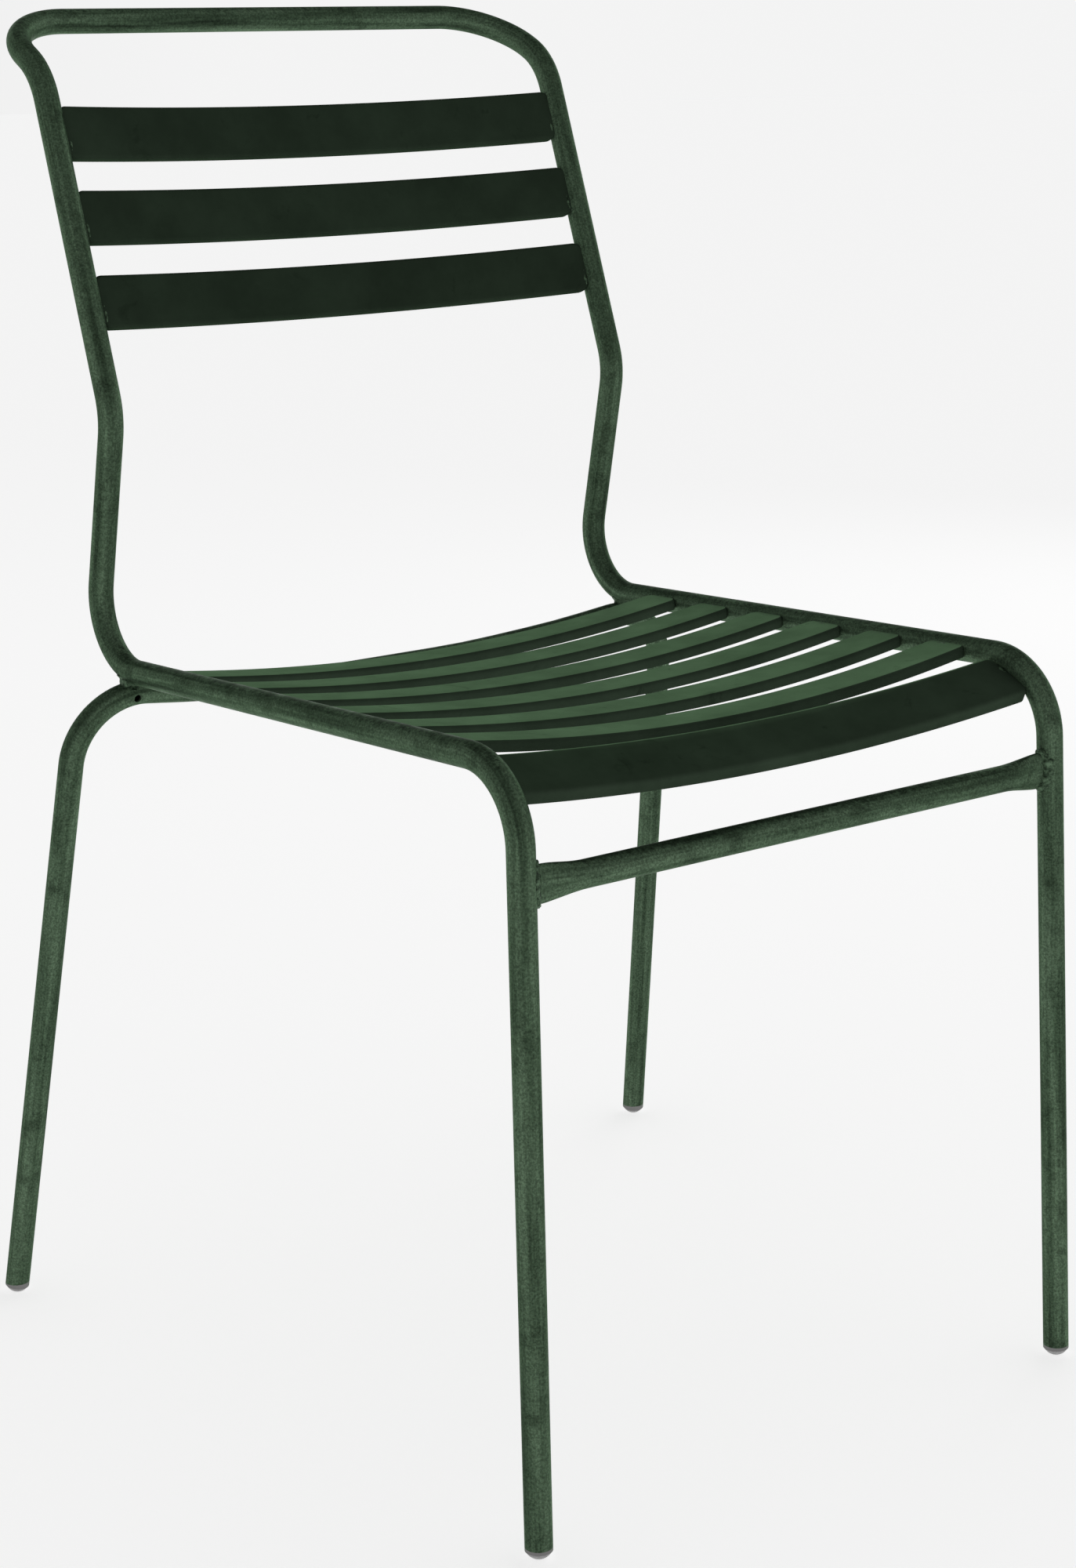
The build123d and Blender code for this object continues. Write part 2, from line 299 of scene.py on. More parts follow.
# ---- colours ----
DEEP_GREEN = (0.010, 0.017, 0.010)
DARK_GREEN = (0.019, 0.030, 0.019)
MID_GREEN = (0.068, 0.111, 0.067)
PALE_GREEN = (0.122, 0.190, 0.119)
SLAT_GREEN = (0.043, 0.066, 0.043)
# Painted shade: a darker copy of the slat green, used for the back slats.
SHADED_BACK_SLAT_GREEN = (0.029, 0.045, 0.029)
# Painted light: the paler green that level, upward slat faces turn to.
PAINTED_TOP_LIGHT_GREEN = (0.168, 0.288, 0.163)
LACQUER_TINT = (0.28, 0.50, 0.28)
BARE_GREY = (0.24, 0.235, 0.235)
GLIDE_DARK = (0.27, 0.27, 0.27)
GLIDE_PALE = (0.38, 0.38, 0.38)
GLIDE_DIRT = (0.14, 0.135, 0.125)
PAINT_EDGE = 6.3 * MM         # below this height the foot of a tube is bare, worn metal
PAINT_FADE = 0.4 * MM
DIRT_HEIGHT = 1.6 * MM        # how far up a glide the dirt of the floor reaches

# ---- how fine each pattern of the tube paint is: waves per metre, or per unit of tube_place ----
STREAK_SHARE, STREAK_WAVES = 6.0, 1.3
LINE_SHARE, LINE_WAVES = 1.4, 6.0
GRAIN_WAVES = 300
PATCH_WAVES = 42
SPECKLE_WAVES = 760


def lacquered(paint, flake, gloss):
    """Metal-flake lacquer: most of its shine is tinted green, with a thin clear gloss over it."""
    paint.inputs["Metallic"].default_value = flake
    paint.inputs["Specular Tint"].default_value = (*LACQUER_TINT, 1)
    paint.inputs["Specular IOR Level"].default_value = gloss


def darkened(tree, color, share):
    """The colour with a share of the deepest green over it."""
    return blend(tree, share, color, DEEP_GREEN)


def tube_paint():
    """Green paint over galvanised tube: streaks along the tube, cloudy patches, fine speckle, and
    painted shade that darkens the upper side of the tube.
    """
    material, tree, paint = shader("tube_paint", MID_GREEN, 0.42)
    here = object_place(tree)
    streaks = cloud(tree, tube_place(tree, STREAK_SHARE), STREAK_WAVES, 4, 0.55)
    color = ramp(tree, streaks, ((0.24, DARK_GREEN), (0.44, MID_GREEN), (0.66, PALE_GREEN)))
    lines = cloud(tree, tube_place(tree, LINE_SHARE), LINE_WAVES, 3, 0.6)
    color = blend(tree, 1.0, color, between(tree, lines, 0.35, 0.65, 0.84, 1.12), "MULTIPLY")
    grain = cloud(tree, here, GRAIN_WAVES, 5, 0.7)
    # Painted shade: faces that point up are darkened towards the deepest green, with a grainy edge.
    painted_top_shade = add(tree, "ShaderNodeMath", operation="ADD")
    tree.links.new(facing_up(tree), painted_top_shade.inputs[0])
    tree.links.new(between(tree, grain, 0.3, 0.7, -0.32, 0.32), painted_top_shade.inputs[1])
    color = darkened(tree, color, between(tree, painted_top_shade.outputs[0], 0.74, 1.08, 0.0, 0.78))
    patches = between(tree, cloud(tree, here, PATCH_WAVES, 6, 0.72), 0.52, 0.66, 0.0, 0.5)
    color = darkened(tree, color, patches)
    speckle = between(tree, cloud(tree, here, SPECKLE_WAVES, 4, 0.7), 0.40, 0.62, 0.62, 1.30)
    color = blend(tree, 1.0, color, speckle, "MULTIPLY")
    height = add(tree, "ShaderNodeSeparateXYZ")
    tree.links.new(here, height.inputs[0])
    bare = between(tree, height.outputs["Z"], PAINT_EDGE, PAINT_EDGE + PAINT_FADE, 1.0, 0.0)
    color = blend(tree, bare, color, BARE_GREY)
    tree.links.new(color, paint.inputs["Base Color"])
    lacquered(paint, 0.35, 0.06)
    gloss = between(tree, cloud(tree, here, 90, 4), 0.35, 0.7, 0.34, 0.52)
    tree.links.new(gloss, paint.inputs["Roughness"])
    bump(tree, paint, cloud(tree, here, 900, 3), 0.06 * MM, 0.5)
    return material


def sheet_paint(name, shade, top_light_share):
    """Smooth green paint on pressed sheet; a level face that points up gets painted light, a paler
    green by the given share.
    """
    material, tree, paint = shader(name, shade, 0.36)
    here = object_place(tree)
    # Painted light: faces that point almost straight up are blended towards the pale painted-light
    # green.
    level = between(tree, facing_up(tree), 0.935, 0.98, 0.0, top_light_share)
    color = blend(tree, level, shade, PAINTED_TOP_LIGHT_GREEN)
    patches = between(tree, cloud(tree, here, 26, 5, 0.6), 0.35, 0.70, 0.84, 1.14)
    color = blend(tree, 1.0, color, patches, "MULTIPLY")
    rubbed = between(tree, cloud(tree, here, 34, 4, 0.7, 1.2), 0.62, 0.74, 0.0, 0.4)
    color = darkened(tree, color, rubbed)
    tree.links.new(color, paint.inputs["Base Color"])
    lacquered(paint, 0.07, 0.0)
    gloss = between(tree, cloud(tree, here, 60, 3), 0.35, 0.7, 0.32, 0.46)
    tree.links.new(gloss, paint.inputs["Roughness"])
    bump(tree, paint, cloud(tree, here, 700, 3), 0.03 * MM, 0.4)
    return material


def weld_paint():
    """The same paint pooled over weld ripples, mottled from dark to pale green."""
    material, tree, paint = shader("weld_paint", MID_GREEN, 0.34)
    here = object_place(tree)
    ripples = cloud(tree, here, 420, 4, 0.6)
    color = ramp(tree, ripples, ((0.38, DARK_GREEN), (0.5, MID_GREEN), (0.64, PALE_GREEN)))
    tree.links.new(color, paint.inputs["Base Color"])
    lacquered(paint, 0.35, 0.25)
    bump(tree, paint, cloud(tree, here, 800, 4), 0.25 * MM, 0.7)
    return material


def glide_plastic():
    """Grey moulded plastic, rubbed and dirty where it stands."""
    material, tree, paint = shader("glide_plastic", GLIDE_DARK, 0.6)
    here = object_place(tree)
    color = ramp(tree, cloud(tree, here, 700, 4), ((0.35, GLIDE_DARK), (0.65, GLIDE_PALE)))
    height = add(tree, "ShaderNodeSeparateXYZ")
    tree.links.new(here, height.inputs[0])
    rubbed = between(tree, height.outputs["Z"], 0.0, DIRT_HEIGHT, 0.6, 0.0)
    color = blend(tree, rubbed, color, GLIDE_DIRT)
    tree.links.new(color, paint.inputs["Base Color"])
    bump(tree, paint, cloud(tree, here, 1200, 2), 0.05 * MM, 0.5)
    return material


TUBE_PAINT = tube_paint()
SLAT_PAINT = sheet_paint("slat_paint", SLAT_GREEN, 1.0)
# The back slats get the painted-shade copy of the slat paint, with no painted light on their tops.
SHADED_BACK_SLAT_PAINT = sheet_paint("shaded_back_slat_paint", SHADED_BACK_SLAT_GREEN, 0.0)
WELD_PAINT = weld_paint()
GLIDE_PLASTIC = glide_plastic()


# ---------------------------------------------------------------- making pieces
def finished(name, bm, material, replaced, crease=TUBE_CREASE):
    """Turns a bmesh into a piece of the chair that stands for its CAD nodes."""
    mesh = bpy.data.meshes.new(name)
    bm.to_mesh(mesh)
    bm.free()
    mesh.materials.append(material)
    mesh.polygons.foreach_set("use_smooth", [True] * len(mesh.polygons))
    mesh.set_sharp_from_angle(angle=math.radians(crease))
    piece = bpy.data.objects.new(name, mesh)
    bpy.context.scene.collection.objects.link(piece)
    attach(piece, "root")
    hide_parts(*replaced)
    return piece


def closed(bm):
    """Merges doubled points and turns the faces outwards."""
    bmesh.ops.remove_doubles(bm, verts=bm.verts[:], dist=MERGE_GAP)
    bmesh.ops.recalc_face_normals(bm, faces=bm.faces[:])


class TubeBender:
    """Bends a tube from a ring of edges that is drawn along runs and spun round bends."""

    def __init__(self, start, heading):
        self.bm = bmesh.new()
        self.along = self.bm.verts.layers.float.new("along")
        self.round = self.bm.verts.layers.float_vector.new("round")
        turn = heading.to_track_quat("Z", "Y").to_matrix().to_4x4()
        made = bmesh.ops.create_circle(
            self.bm, segments=TUBE_SIDES, radius=TUBE_RADIUS, matrix=Matrix.Translation(start) @ turn
        )
        for step, vert in enumerate(made["verts"]):
            angle = 2 * math.pi * step / TUBE_SIDES
            vert[self.round] = (math.cos(angle), math.sin(angle), 0)
        self.ring = self.bm.edges[:]
        self.place = start.copy()
        self.heading = heading.normalized()
        self.length = 0.0

    def mark(self, verts, distance):
        """Notes how far along the tube the newest ring is."""
        self.length += distance
        for vert in verts:
            vert[self.along] = self.length

    def grow(self):
        """Draws one more ring out of the last one and returns its points."""
        made = bmesh.ops.extrude_edge_only(self.bm, edges=self.ring)["geom"]
        verts = [v for v in made if isinstance(v, bmesh.types.BMVert)]
        edges = [e for e in made if isinstance(e, bmesh.types.BMEdge)]
        kept = set(verts)
        self.ring = [e for e in edges if e.verts[0] in kept and e.verts[1] in kept]
        return verts

    def run(self, distance):
        """Draws the tube straight on."""
        steps = max(1, round(distance / RUN_STEP))
        for _ in range(steps):
            verts = self.grow()
            bmesh.ops.translate(self.bm, verts=verts, vec=self.heading * (distance / steps))
            self.mark(verts, distance / steps)
        self.place += self.heading * distance

    def bend(self, heading, radius):
        """Bends the tube until it points along the new heading."""
        axis = self.heading.cross(heading).normalized()
        angle = self.heading.angle(heading)
        center = self.place + axis.cross(self.heading) * radius
        steps = max(2, math.ceil(angle / BEND_STEP))
        for _ in range(steps):
            verts = self.grow()
            turn = Matrix.Rotation(angle / steps, 3, axis)
            bmesh.ops.rotate(self.bm, verts=verts, cent=center, matrix=turn)
            self.mark(verts, radius * angle / steps)
        self.place = center + Matrix.Rotation(angle, 3, axis) @ (self.place - center)
        self.heading = heading.normalized()


def bent_tube(corners, bends):
    """A thin-walled tube along straight runs joined by bends of the given radii."""
    headings = [(b - a).normalized() for a, b in zip(corners, corners[1:])]
    setbacks = [r * math.tan(a.angle(b) / 2) for r, a, b in zip(bends, headings, headings[1:])]
    setbacks = [0.0, *setbacks, 0.0]
    tube = TubeBender(corners[0], headings[0])
    for number, heading in enumerate(headings):
        span = (corners[number + 1] - corners[number]).length
        tube.run(span - setbacks[number] - setbacks[number + 1])
        if number < len(bends):
            tube.bend(headings[number + 1], bends[number])
    closed(tube.bm)
    bmesh.ops.solidify(tube.bm, geom=tube.bm.faces[:], thickness=TUBE_WALL)
    return tube.bm


def leg_foot(foot, corner):
    """Where a leg tube ends, just below the centre of its glide's dome."""
    center = place(*foot, 0)
    center.z = FOOT_CENTER_Z
    down = (center - corner).normalized()
    return center + down * DOME_DROP


def mirrored(points):
    """The same points on the other side of the chair."""
    return [Vector((-p.x, p.y, p.z)) for p in points]


def frame_route():
    """Corners and bend radii from one front foot over the back to the other."""
    half = [place(*corner[:3]) for corner in FRAME_CORNERS]
    half.insert(0, leg_foot(FRONT_FOOT, half[0]))
    half.append(Vector((TOP_CORNER_HALF * MM, top_rail_y, top_rail_z)))
    bends = [corner[3] * MM for corner in FRAME_CORNERS] + [TOP_CORNER_BEND * MM]
    return half + mirrored(reversed(half)), bends + bends[::-1]


def rear_route():
    """Corners and bend radii from one rear foot under the seat to the other."""
    corner = place(*REAR_CORNER[:3])
    half = [leg_foot(REAR_FOOT, corner), corner]
    for station in REAR_BOW_STATIONS:
        drop = REAR_BOW * (1 - (station / REAR_CORNER[0]) ** 2)
        half.append(place(station, REAR_CORNER[1], REAR_CORNER[2] - drop))
    bends = [REAR_CORNER[3] * MM] + [REAR_BOW_BEND * MM] * len(REAR_BOW_STATIONS)
    return half + mirrored(reversed(half)), bends + bends[::-1]


def cut_drain_holes(tube):
    """Drills both drain holes through the front wall of the bowed piece."""
    bm = bmesh.new()
    for side in (-1, 1):
        spot = place(side * DRAIN_HOLE[0], *DRAIN_HOLE[1:])
        turn = Matrix.Translation(spot) @ Matrix.Rotation(math.radians(90) + DRAIN_HOLE_TILT, 4, "X")
        bmesh.ops.create_cone(
            bm, cap_ends=True, segments=DRAIN_HOLE_SIDES, radius1=DRAIN_HOLE_RADIUS,
            radius2=DRAIN_HOLE_RADIUS, depth=TUBE_RADIUS,
            matrix=turn @ Matrix.Translation((0, 0, TUBE_RADIUS)),
        )
    mesh = bpy.data.meshes.new("drill")
    bm.to_mesh(mesh)
    bm.free()
    drill = bpy.data.objects.new("drill", mesh)
    bpy.context.scene.collection.objects.link(drill)
    cut = tube.modifiers.new("drain holes", "BOOLEAN")
    cut.operation = "DIFFERENCE"
    cut.solver = "EXACT"
    cut.object = drill
    scene_now = bpy.context.evaluated_depsgraph_get()
    drilled = bpy.data.meshes.new_from_object(tube.evaluated_get(scene_now))
    tube.modifiers.clear()
    tube.data = drilled
    bpy.data.objects.remove(drill)


bent = bent_tube(*frame_route())
finished("painted_frame_tube", bent, TUBE_PAINT, ["frame_tube"])
bent = bent_tube(*rear_route())
rear_piece = finished("painted_rear_leg_tube", bent, TUBE_PAINT, ["rear_leg_tube"])
cut_drain_holes(rear_piece)


# ---- front stretcher ----
def leg_at(height):
    """The centre of a front leg at a height, on the right."""
    low = Vector((FRONT_FOOT[0] * MM, front_y, FOOT_CENTER_Z))
    high = place(*FRAME_CORNERS[0][:3])
    return low + (high - low) * ((height - low.z) / (high.z - low.z))


def smooth(share):
    """Eases a share from 0 to 1."""
    share = min(max(share, 0.0), 1.0)
    return share * share * (3 - 2 * share)


def stretcher():
    """A straight tube, its ends pressed flat and tall where they meet the legs."""
    end = leg_at(STRETCHER_Z)
    half = end.x - TUBE_RADIUS + STRETCHER_BITE
    pressed = [half - CRUSH_LENGTH * (1 - step / CRUSH_STEPS) for step in range(CRUSH_STEPS + 1)]
    middle_run = [number * RUN_STEP for number in range(-MIDDLE_RINGS, MIDDLE_RINGS + 1)]
    stations = [-x for x in reversed(pressed)] + middle_run + pressed
    tube = TubeBender(Vector((stations[0], end.y, end.z)), Vector((1, 0, 0)))
    thin_now = tall_now = TUBE_RADIUS

    def press(verts, x):
        nonlocal thin_now, tall_now
        share = smooth((abs(x) - (half - CRUSH_LENGTH)) / (CRUSH_LENGTH - CRUSH_LANDING))
        thin = TUBE_RADIUS + (CRUSH_THIN - TUBE_RADIUS) * share
        tall = TUBE_RADIUS + (CRUSH_TALL - TUBE_RADIUS) * share
        center = Matrix.Translation(-Vector((x, end.y, end.z)))
        bmesh.ops.scale(tube.bm, vec=(1, thin / thin_now, tall / tall_now), space=center, verts=verts)
        thin_now, tall_now = thin, tall

    press(tube.bm.verts[:], stations[0])
    for before, after in zip(stations, stations[1:]):
        verts = tube.grow()
        bmesh.ops.translate(tube.bm, verts=verts, vec=(after - before, 0, 0))
        tube.mark(verts, after - before)
        press(verts, after)
    closed(tube.bm)
    bmesh.ops.solidify(tube.bm, geom=tube.bm.faces[:], thickness=TUBE_WALL)
    return tube.bm


finished("painted_front_stretcher", stretcher(), TUBE_PAINT, ["front_stretcher"])


# ---- slats ----
def round_ends(bm, half_length, half_width):
    """Narrows the last few millimetres of a slat to round corners."""
    for step in range(1, END_STEPS + 1):
        cut = half_length - END_CORNER * (1 - math.cos(math.pi / 2 * step / END_STEPS))
        for side in (-1, 1):
            bmesh.ops.bisect_plane(
                bm, geom=bm.verts[:] + bm.edges[:] + bm.faces[:], plane_co=(side * cut, 0, 0),
                plane_no=(1, 0, 0), dist=0.01 * MM,
            )
    for vert in bm.verts:
        past = (abs(vert.co.x) - half_length + END_CORNER) / END_CORNER
        if past > 0:
            narrowing = END_CORNER * (1 - math.sqrt(max(0.0, 1 - min(past, 1.0) ** 2)))
            vert.co.y *= 1 - narrowing / half_width


def pressed_slat(width, lip, dip, half_length, where, tilt):
    """A shallow channel of bent sheet, bowed along its length."""
    width, lip, dip, half_length = (v * MM for v in (width, lip, dip, half_length))
    bm = bmesh.new()
    bend = (half_length**2 + dip**2) / (2 * dip)
    half_turn = math.asin(half_length / bend)
    center = Vector((0, 0, bend - dip))
    outline = ((-width / 2, -lip), (-width / 2, 0), (width / 2, 0), (width / 2, -lip))
    verts = [bm.verts.new((0, y, z - dip)) for y, z in outline]
    edges = [bm.edges.new(pair) for pair in zip(verts, verts[1:])]
    bmesh.ops.rotate(bm, verts=verts, cent=center, matrix=Matrix.Rotation(half_turn, 3, "Y"))
    bmesh.ops.spin(
        bm, geom=verts + edges, cent=center, axis=(0, 1, 0), angle=-2 * half_turn, steps=SLAT_STEPS
    )
    closed(bm)
    folds = [e for e in bm.edges if len(e.link_faces) == 2 and e.calc_face_angle() > FOLD_ANGLE]
    bmesh.ops.bevel(
        bm, geom=folds, offset=SLAT_CORNER, segments=CORNER_SEGMENTS, profile=0.5, affect="EDGES",
        material=-1,
    )
    round_ends(bm, half_length, width / 2)
    widest = max(bm.faces, key=lambda face: face.calc_area())
    if widest.normal.z < 0:
        bmesh.ops.reverse_faces(bm, faces=bm.faces[:])
    bmesh.ops.solidify(bm, geom=bm.faces[:], thickness=SHEET)
    turn = Matrix.Translation(where) @ Matrix.Rotation(math.radians(tilt), 4, "X")
    bmesh.ops.transform(bm, verts=bm.verts[:], matrix=turn)
    return bm


seat_slope = math.atan2(
    FRAME_CORNERS[1][2] - FRAME_CORNERS[0][2], FRAME_CORNERS[1][1] - FRAME_CORNERS[0][1]
)
back_lean = math.atan2(
    FRAME_CORNERS[3][1] - FRAME_CORNERS[2][1], FRAME_CORNERS[3][2] - FRAME_CORNERS[2][2]
)
for number in range(SEAT_SLATS):
    depth = SEAT_SLAT_FIRST + number * SEAT_SLAT_PITCH
    rail = FRAME_CORNERS[0][2] + (depth - FRAME_CORNERS[0][1]) * math.tan(seat_slope)
    dip = SEAT_DIPS[0] + (SEAT_DIPS[1] - SEAT_DIPS[0]) * number / (SEAT_SLATS - 1)
    where = place(0, depth, rail + SLAT_PROUD)
    half_length = SLAT_END + SEAT_SLAT_EXTRA
    slat = pressed_slat(*SEAT_SLAT_SIZE, dip, half_length, where, math.degrees(seat_slope))
    node = f"seat_slat_{number + 1}"
    finished(f"painted_{node}", slat, SLAT_PAINT, [node])

where = place(0, *FRONT_SLAT_PLACE)
slat = pressed_slat(*FRONT_SLAT_SIZE, FRONT_SLAT_DIP, SLAT_END, where, FRONT_SLAT_TILT)
finished("painted_front_slat", slat, SLAT_PAINT, ["front_slat"])

for name, height in zip(("bottom", "middle", "top"), BACK_SLAT_HEIGHTS):
    depth = FRAME_CORNERS[2][1] + (height - FRAME_CORNERS[2][2]) * math.tan(back_lean)
    where = place(
        0,
        depth - BACK_SLAT_PROUD * math.cos(back_lean),
        height + BACK_SLAT_PROUD * math.sin(back_lean),
    )
    tilt = 90 - math.degrees(back_lean)
    slat = pressed_slat(*BACK_SLAT_SIZE, BACK_SLAT_DIP, SLAT_END, where, tilt)
    node = f"back_slat_{name}"
    finished(f"painted_{node}", slat, SHADED_BACK_SLAT_PAINT, [node])


# ---- welds ----
def lumpy(bm, size, grain, seed):
    """Pushes a smooth bead in and out into uneven lumps."""
    bm.normal_update()
    shift = Vector((seed * 1.7, seed * 0.6, seed * 2.3))
    for vert in bm.verts:
        vert.co += vert.normal * size * noise.noise(vert.co * grain + shift)


def stretcher_bead(side):
    """A narrow uneven bead all round the flattened end of the stretcher."""
    end = leg_at(STRETCHER_Z)
    bm = bmesh.new()
    top = (0, 0, CRUSH_TALL)
    ring = bmesh.ops.create_circle(
        bm, segments=BEAD_SIDES, radius=BEAD_RADIUS, matrix=Matrix.Translation(top)
    )
    for axis in "YZ":
        quarter = Matrix.Rotation(math.radians(90), 3, axis)
        bmesh.ops.rotate(bm, verts=ring["verts"], cent=top, matrix=quarter)
    bmesh.ops.spin(
        bm, geom=bm.verts[:] + bm.edges[:], cent=(0, 0, 0), axis=(1, 0, 0), angle=2 * math.pi,
        steps=BEAD_STEPS, use_merge=True,
    )
    closed(bm)
    squash = (CRUSH_THIN + BEAD_OUT) / CRUSH_TALL
    for vert in bm.verts:
        reach = math.hypot(vert.co.y, vert.co.z)
        vert.co.y *= squash + (reach - CRUSH_TALL) / reach * BEAD_PINCH
    lumpy(bm, *BEAD_LUMPS, side + 2)
    for vert in bm.verts:
        hug = math.sqrt(max(0.0, TUBE_RADIUS**2 - vert.co.y**2))
        vert.co.x = side * (end.x - hug) - side * BEAD_SINK + vert.co.x
        vert.co.y += end.y
        vert.co.z += end.z
    return bm


def rear_joint_web(side):
    """Weld metal that fills the crevice where a seat rail lies on the bowed piece."""
    rail_front, rail_rear = FRAME_CORNERS[:2]
    share = (REAR_CORNER[1] - rail_front[1]) / (rail_rear[1] - rail_front[1])
    half = rail_front[0] + (rail_rear[0] - rail_front[0]) * share
    box_low, box_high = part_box(f"rear_leg_{'right' if side > 0 else 'left'}_weld")
    bm = bmesh.new()
    last = WEB_WAIST + WEB_FLARE
    bmesh.ops.create_circle(
        bm, segments=WEB_SIDES, radius=last, matrix=Matrix.Translation((0, 0, -WEB_RISE))
    )
    ring = bm.edges[:]
    for level in range(1, WEB_LEVELS + 1):
        height = -1 + 2 * level / WEB_LEVELS
        radius = WEB_WAIST + WEB_FLARE * height**2
        grown = bmesh.ops.extrude_edge_only(bm, edges=ring)["geom"]
        verts = [v for v in grown if isinstance(v, bmesh.types.BMVert)]
        ring = [e for e in grown if isinstance(e, bmesh.types.BMEdge)]
        bmesh.ops.translate(bm, verts=verts, vec=(0, 0, 2 * WEB_RISE / WEB_LEVELS))
        bmesh.ops.scale(bm, verts=verts, vec=(radius / last, radius / last, 1))
        last = radius
    bmesh.ops.holes_fill(bm, edges=bm.edges[:])
    closed(bm)
    lumpy(bm, *WEB_LUMPS, side + 5)
    center = (box_low + box_high) / 2
    bmesh.ops.translate(bm, verts=bm.verts[:], vec=(side * half * MM, center.y, center.z))
    return bm


def short_bead(length, radius):
    """One straight run of weld with round ends, lying along Y."""
    bm = bmesh.new()
    bmesh.ops.create_uvsphere(bm, u_segments=14, v_segments=26, radius=radius)
    bmesh.ops.rotate(bm, verts=bm.verts[:], matrix=Matrix.Rotation(math.radians(90), 3, "X"))
    bmesh.ops.scale(bm, verts=bm.verts[:], vec=(1, length / (2 * radius), 1))
    return bm


def separate_welds(node):
    """The low and high corners of each separate weld in one node."""
    loose = bmesh.new()
    loose.from_mesh(nodes[node].data)
    bmesh.ops.remove_doubles(loose, verts=loose.verts[:], dist=0.01 * MM)
    left = set(loose.verts)
    boxes = []
    while left:
        island, edge = set(), [left.pop()]
        while edge:
            vert = edge.pop()
            island.add(vert)
            for link in vert.link_edges:
                other = link.other_vert(vert)
                if other in left:
                    left.discard(other)
                    edge.append(other)
        low = Vector(min(v.co[axis] for v in island) for axis in range(3))
        high = Vector(max(v.co[axis] for v in island) for axis in range(3))
        boxes.append((low, high))
    loose.free()
    return boxes


def under_slat_beads(node, radius):
    """Uneven beads in the places of one node's separate welds."""
    whole = bmesh.new()
    for low, high in separate_welds(node):
        size = high - low
        lean = math.atan2(size.z, size.y) if size.z > 3 * radius else 0.0
        bead = short_bead(math.hypot(size.y, size.z if lean else 0.0), radius)
        lumpy(bead, *SLAT_LUMPS, low.y * 40)
        turn = Matrix.Translation((low + high) / 2) @ Matrix.Rotation(lean, 4, "X")
        bmesh.ops.transform(bead, verts=bead.verts[:], matrix=turn)
        mesh = bpy.data.meshes.new("bead")
        bead.to_mesh(mesh)
        bead.free()
        whole.from_mesh(mesh)
        bpy.data.meshes.remove(mesh)
    return whole


def weld(name, bm, node):
    """Turns a bead into a painted piece in the place of one node."""
    finished(name, bm, WELD_PAINT, [node], BEAD_CREASE)


for side, word in ((-1, "left"), (1, "right")):
    weld(f"stretcher_{word}_bead", stretcher_bead(side), f"stretcher_{word}_weld")
    weld(f"rear_{word}_web", rear_joint_web(side), f"rear_leg_{word}_weld")
for node, radius in SLAT_BEADS:
    weld(f"{node}_beads", under_slat_beads(node, radius), node)


# ---- foot glides ----
def cut_level(bm, height, up):
    """Takes off what is past a level plane: above it where up is 1, below it where up is -1."""
    bmesh.ops.bisect_plane(
        bm, geom=bm.verts[:] + bm.edges[:] + bm.faces[:], plane_co=(0, 0, height),
        plane_no=(0, 0, up), clear_outer=True,
    )


def glide(foot, corner):
    """A moulded dome with a small collar, a stem up the tube and a flat where it stands."""
    center = place(*foot, 0)
    center.z = FOOT_CENTER_Z
    bm = bmesh.new()
    bmesh.ops.create_uvsphere(bm, u_segments=TUBE_SIDES, v_segments=40, radius=DOME_RADIUS)
    cut_level(bm, -DOME_DROP, 1)
    rim = [e for e in bm.edges if e.is_boundary]
    collar = (COLLAR_RADIUS, COLLAR_RISE)
    for radius, rise in (collar, (STEM_RADIUS, 0.0), (STEM_RADIUS - STEM_TAPER, STEM_LENGTH)):
        grown = bmesh.ops.extrude_edge_only(bm, edges=rim)["geom"]
        verts = [v for v in grown if isinstance(v, bmesh.types.BMVert)]
        rim = [e for e in grown if isinstance(e, bmesh.types.BMEdge)]
        now = verts[0].co.to_2d().length
        bmesh.ops.scale(bm, verts=verts, vec=(radius / now, radius / now, 1))
        bmesh.ops.translate(bm, verts=verts, vec=(0, 0, rise))
    bmesh.ops.holes_fill(bm, edges=rim)
    turn = (corner - center).to_track_quat("Z", "Y").to_matrix().to_4x4()
    bmesh.ops.transform(bm, verts=bm.verts[:], matrix=Matrix.Translation(center) @ turn)
    cut_level(bm, 0, -1)
    bmesh.ops.holes_fill(bm, edges=[e for e in bm.edges if e.is_boundary])
    closed(bm)
    return bm


for side, word in ((-1, "left"), (1, "right")):
    front_top = place(side * FRAME_CORNERS[0][0], *FRAME_CORNERS[0][1:3])
    rear_top = place(side * REAR_CORNER[0], *REAR_CORNER[1:3])
    for name, foot, top in (("front", FRONT_FOOT, front_top), ("rear", REAR_FOOT, rear_top)):
        piece = glide((side * foot[0], foot[1]), top)
        node = f"{name}_{word}_foot_glide"
        finished(f"{name}_{word}_glide", piece, GLIDE_PLASTIC, [node], GLIDE_CREASE)


# ---------------------------------------------------------------- room, light and camera
def floor():
    """A wide pale floor that glows a little, as paper does in a bright studio."""
    bm = bmesh.new()
    bmesh.ops.create_grid(bm, x_segments=2, y_segments=2, size=FLOOR_SIZE)
    mesh = bpy.data.meshes.new("floor")
    bm.to_mesh(mesh)
    bm.free()
    piece = bpy.data.objects.new("floor", mesh)
    bpy.context.scene.collection.objects.link(piece)
    material, tree, paint = shader("floor_paper", FLOOR_WHITE, 0.95)
    paint.inputs["Specular IOR Level"].default_value = 0.0
    paint.inputs["Emission Color"].default_value = (1, 1, 1, 1)
    paint.inputs["Emission Strength"].default_value = FLOOR_GLOW
    mesh.materials.append(material)


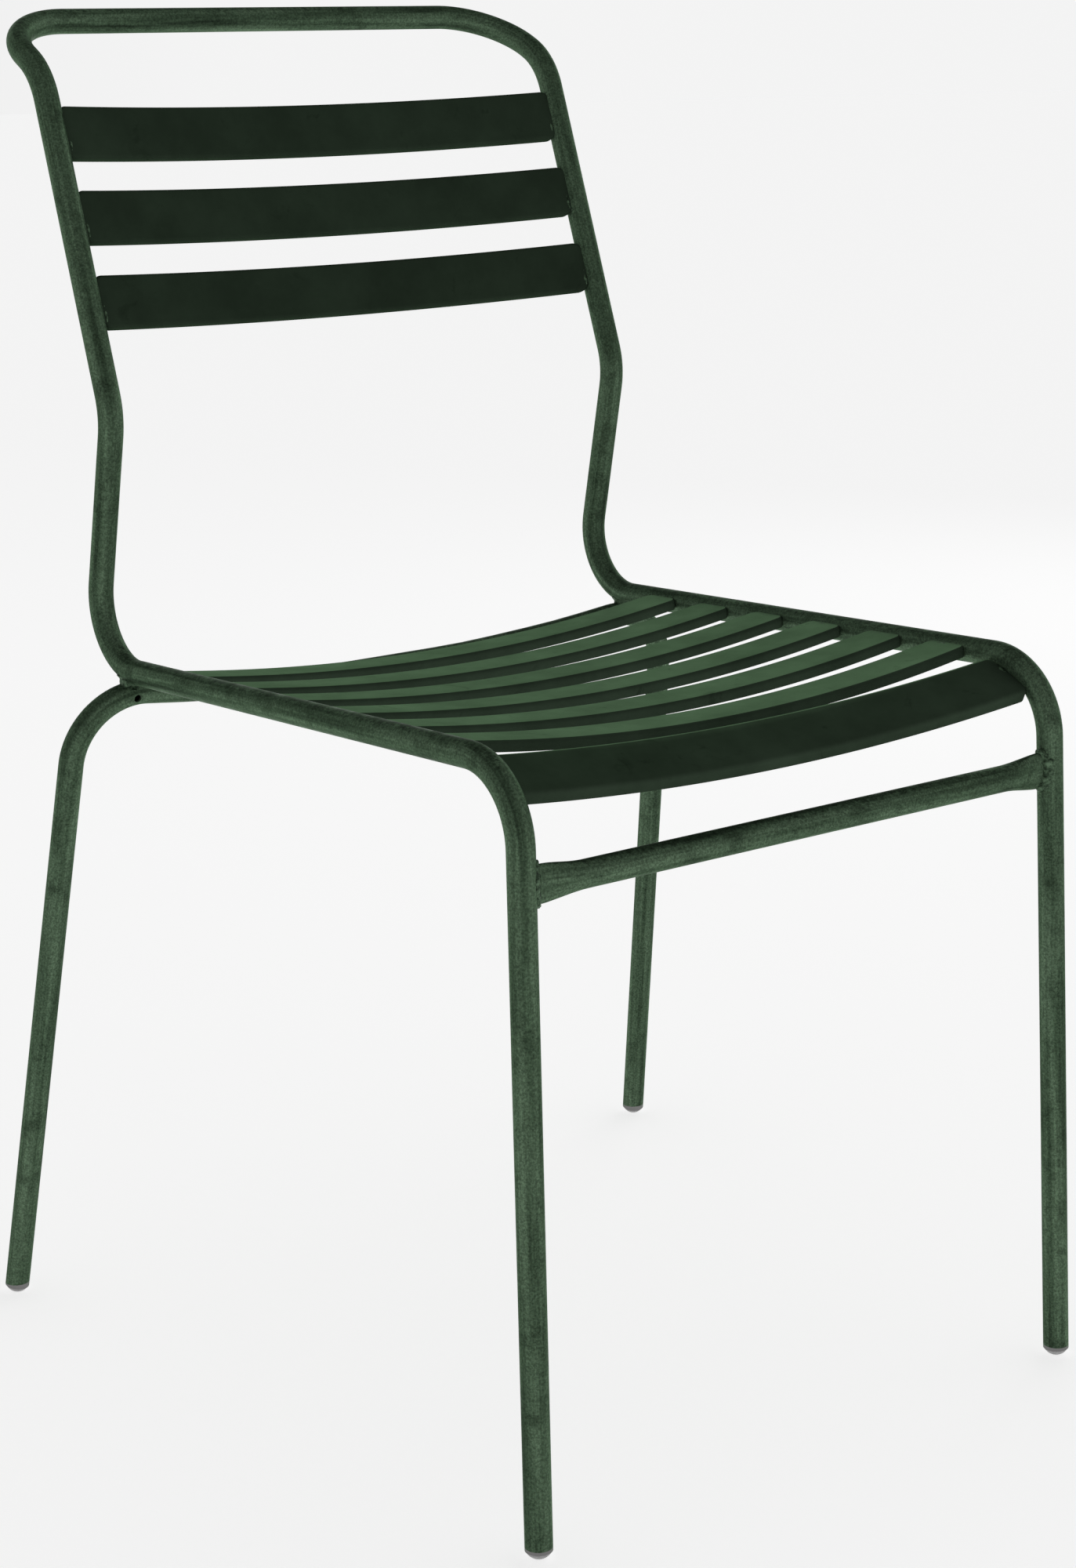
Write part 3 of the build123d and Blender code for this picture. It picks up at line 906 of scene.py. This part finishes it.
def soft_light(name, where, target, size, power):
    """A square panel of light that is aimed at the target and is itself out of sight."""
    data = bpy.data.lights.new(name, "AREA")
    data.shape = "RECTANGLE"
    data.size, data.size_y = size
    data.energy = power
    light = bpy.data.objects.new(name, data)
    light.location = where
    light.visible_camera = False
    light.rotation_mode = "QUATERNION"
    light.rotation_quaternion = (Vector(target) - Vector(where)).to_track_quat("-Z", "Y")
    bpy.context.scene.collection.objects.link(light)


def studio_walls():
    """Light from bright walls all round and a darker ceiling."""
    world = bpy.data.worlds.new("studio")
    world.use_nodes = True
    tree = world.node_tree
    direction = add(tree, "ShaderNodeTexCoord").outputs["Generated"]
    split = add(tree, "ShaderNodeSeparateXYZ")
    tree.links.new(direction, split.inputs[0])
    shade = ramp(tree, split.outputs["Z"], WALL_LIGHT)
    front = between(tree, split.outputs["Y"], -0.9, -0.2, FRONT_WALL, 1.0)
    shade = blend(tree, 1.0, shade, front, "MULTIPLY")
    across = between(tree, split.outputs["X"], -0.9, 0.5, LEFT_WALL, RIGHT_WALL)
    shade = blend(tree, 1.0, shade, across, "MULTIPLY")
    tree.links.new(shade, tree.nodes["Background"].inputs["Color"])
    tree.nodes["Background"].inputs["Strength"].default_value = 1.0
    bpy.context.scene.world = world


def camera():
    """A long lens off the front left corner, looking a little down on the seat."""
    azimuth, elevation, roll = (math.radians(angle) for angle in CAMERA_ANGLES)
    back = Vector((
        math.sin(azimuth) * math.cos(elevation),
        -math.cos(azimuth) * math.cos(elevation),
        math.sin(elevation),
    ))
    right = Vector((0, 0, 1)).cross(back).normalized()
    up = back.cross(right)
    tilted_right = right * math.cos(roll) + up * math.sin(roll)
    tilted_up = up * math.cos(roll) - right * math.sin(roll)
    data = bpy.data.cameras.new("camera")
    data.sensor_width = CAMERA_SENSOR
    data.lens = CAMERA_LENS
    data.shift_x, data.shift_y = CAMERA_SHIFT
    data.clip_end = CAMERA_REACH
    eye = bpy.data.objects.new("camera", data)
    turn = Matrix((tilted_right, tilted_up, back)).transposed().to_4x4()
    across, before, height = CAMERA_PLACE
    eye.matrix_world = Matrix.Translation((across, front_y - before, height)) @ turn
    bpy.context.scene.collection.objects.link(eye)
    bpy.context.scene.camera = eye


floor()
studio_walls()
middle = (cad_low + cad_high) / 2
soft_light("side_softbox", SOFTBOX_PLACE, middle, SOFTBOX_SIZE, SOFTBOX_POWER)
camera()
bpy.context.scene.view_settings.view_transform = "Standard"
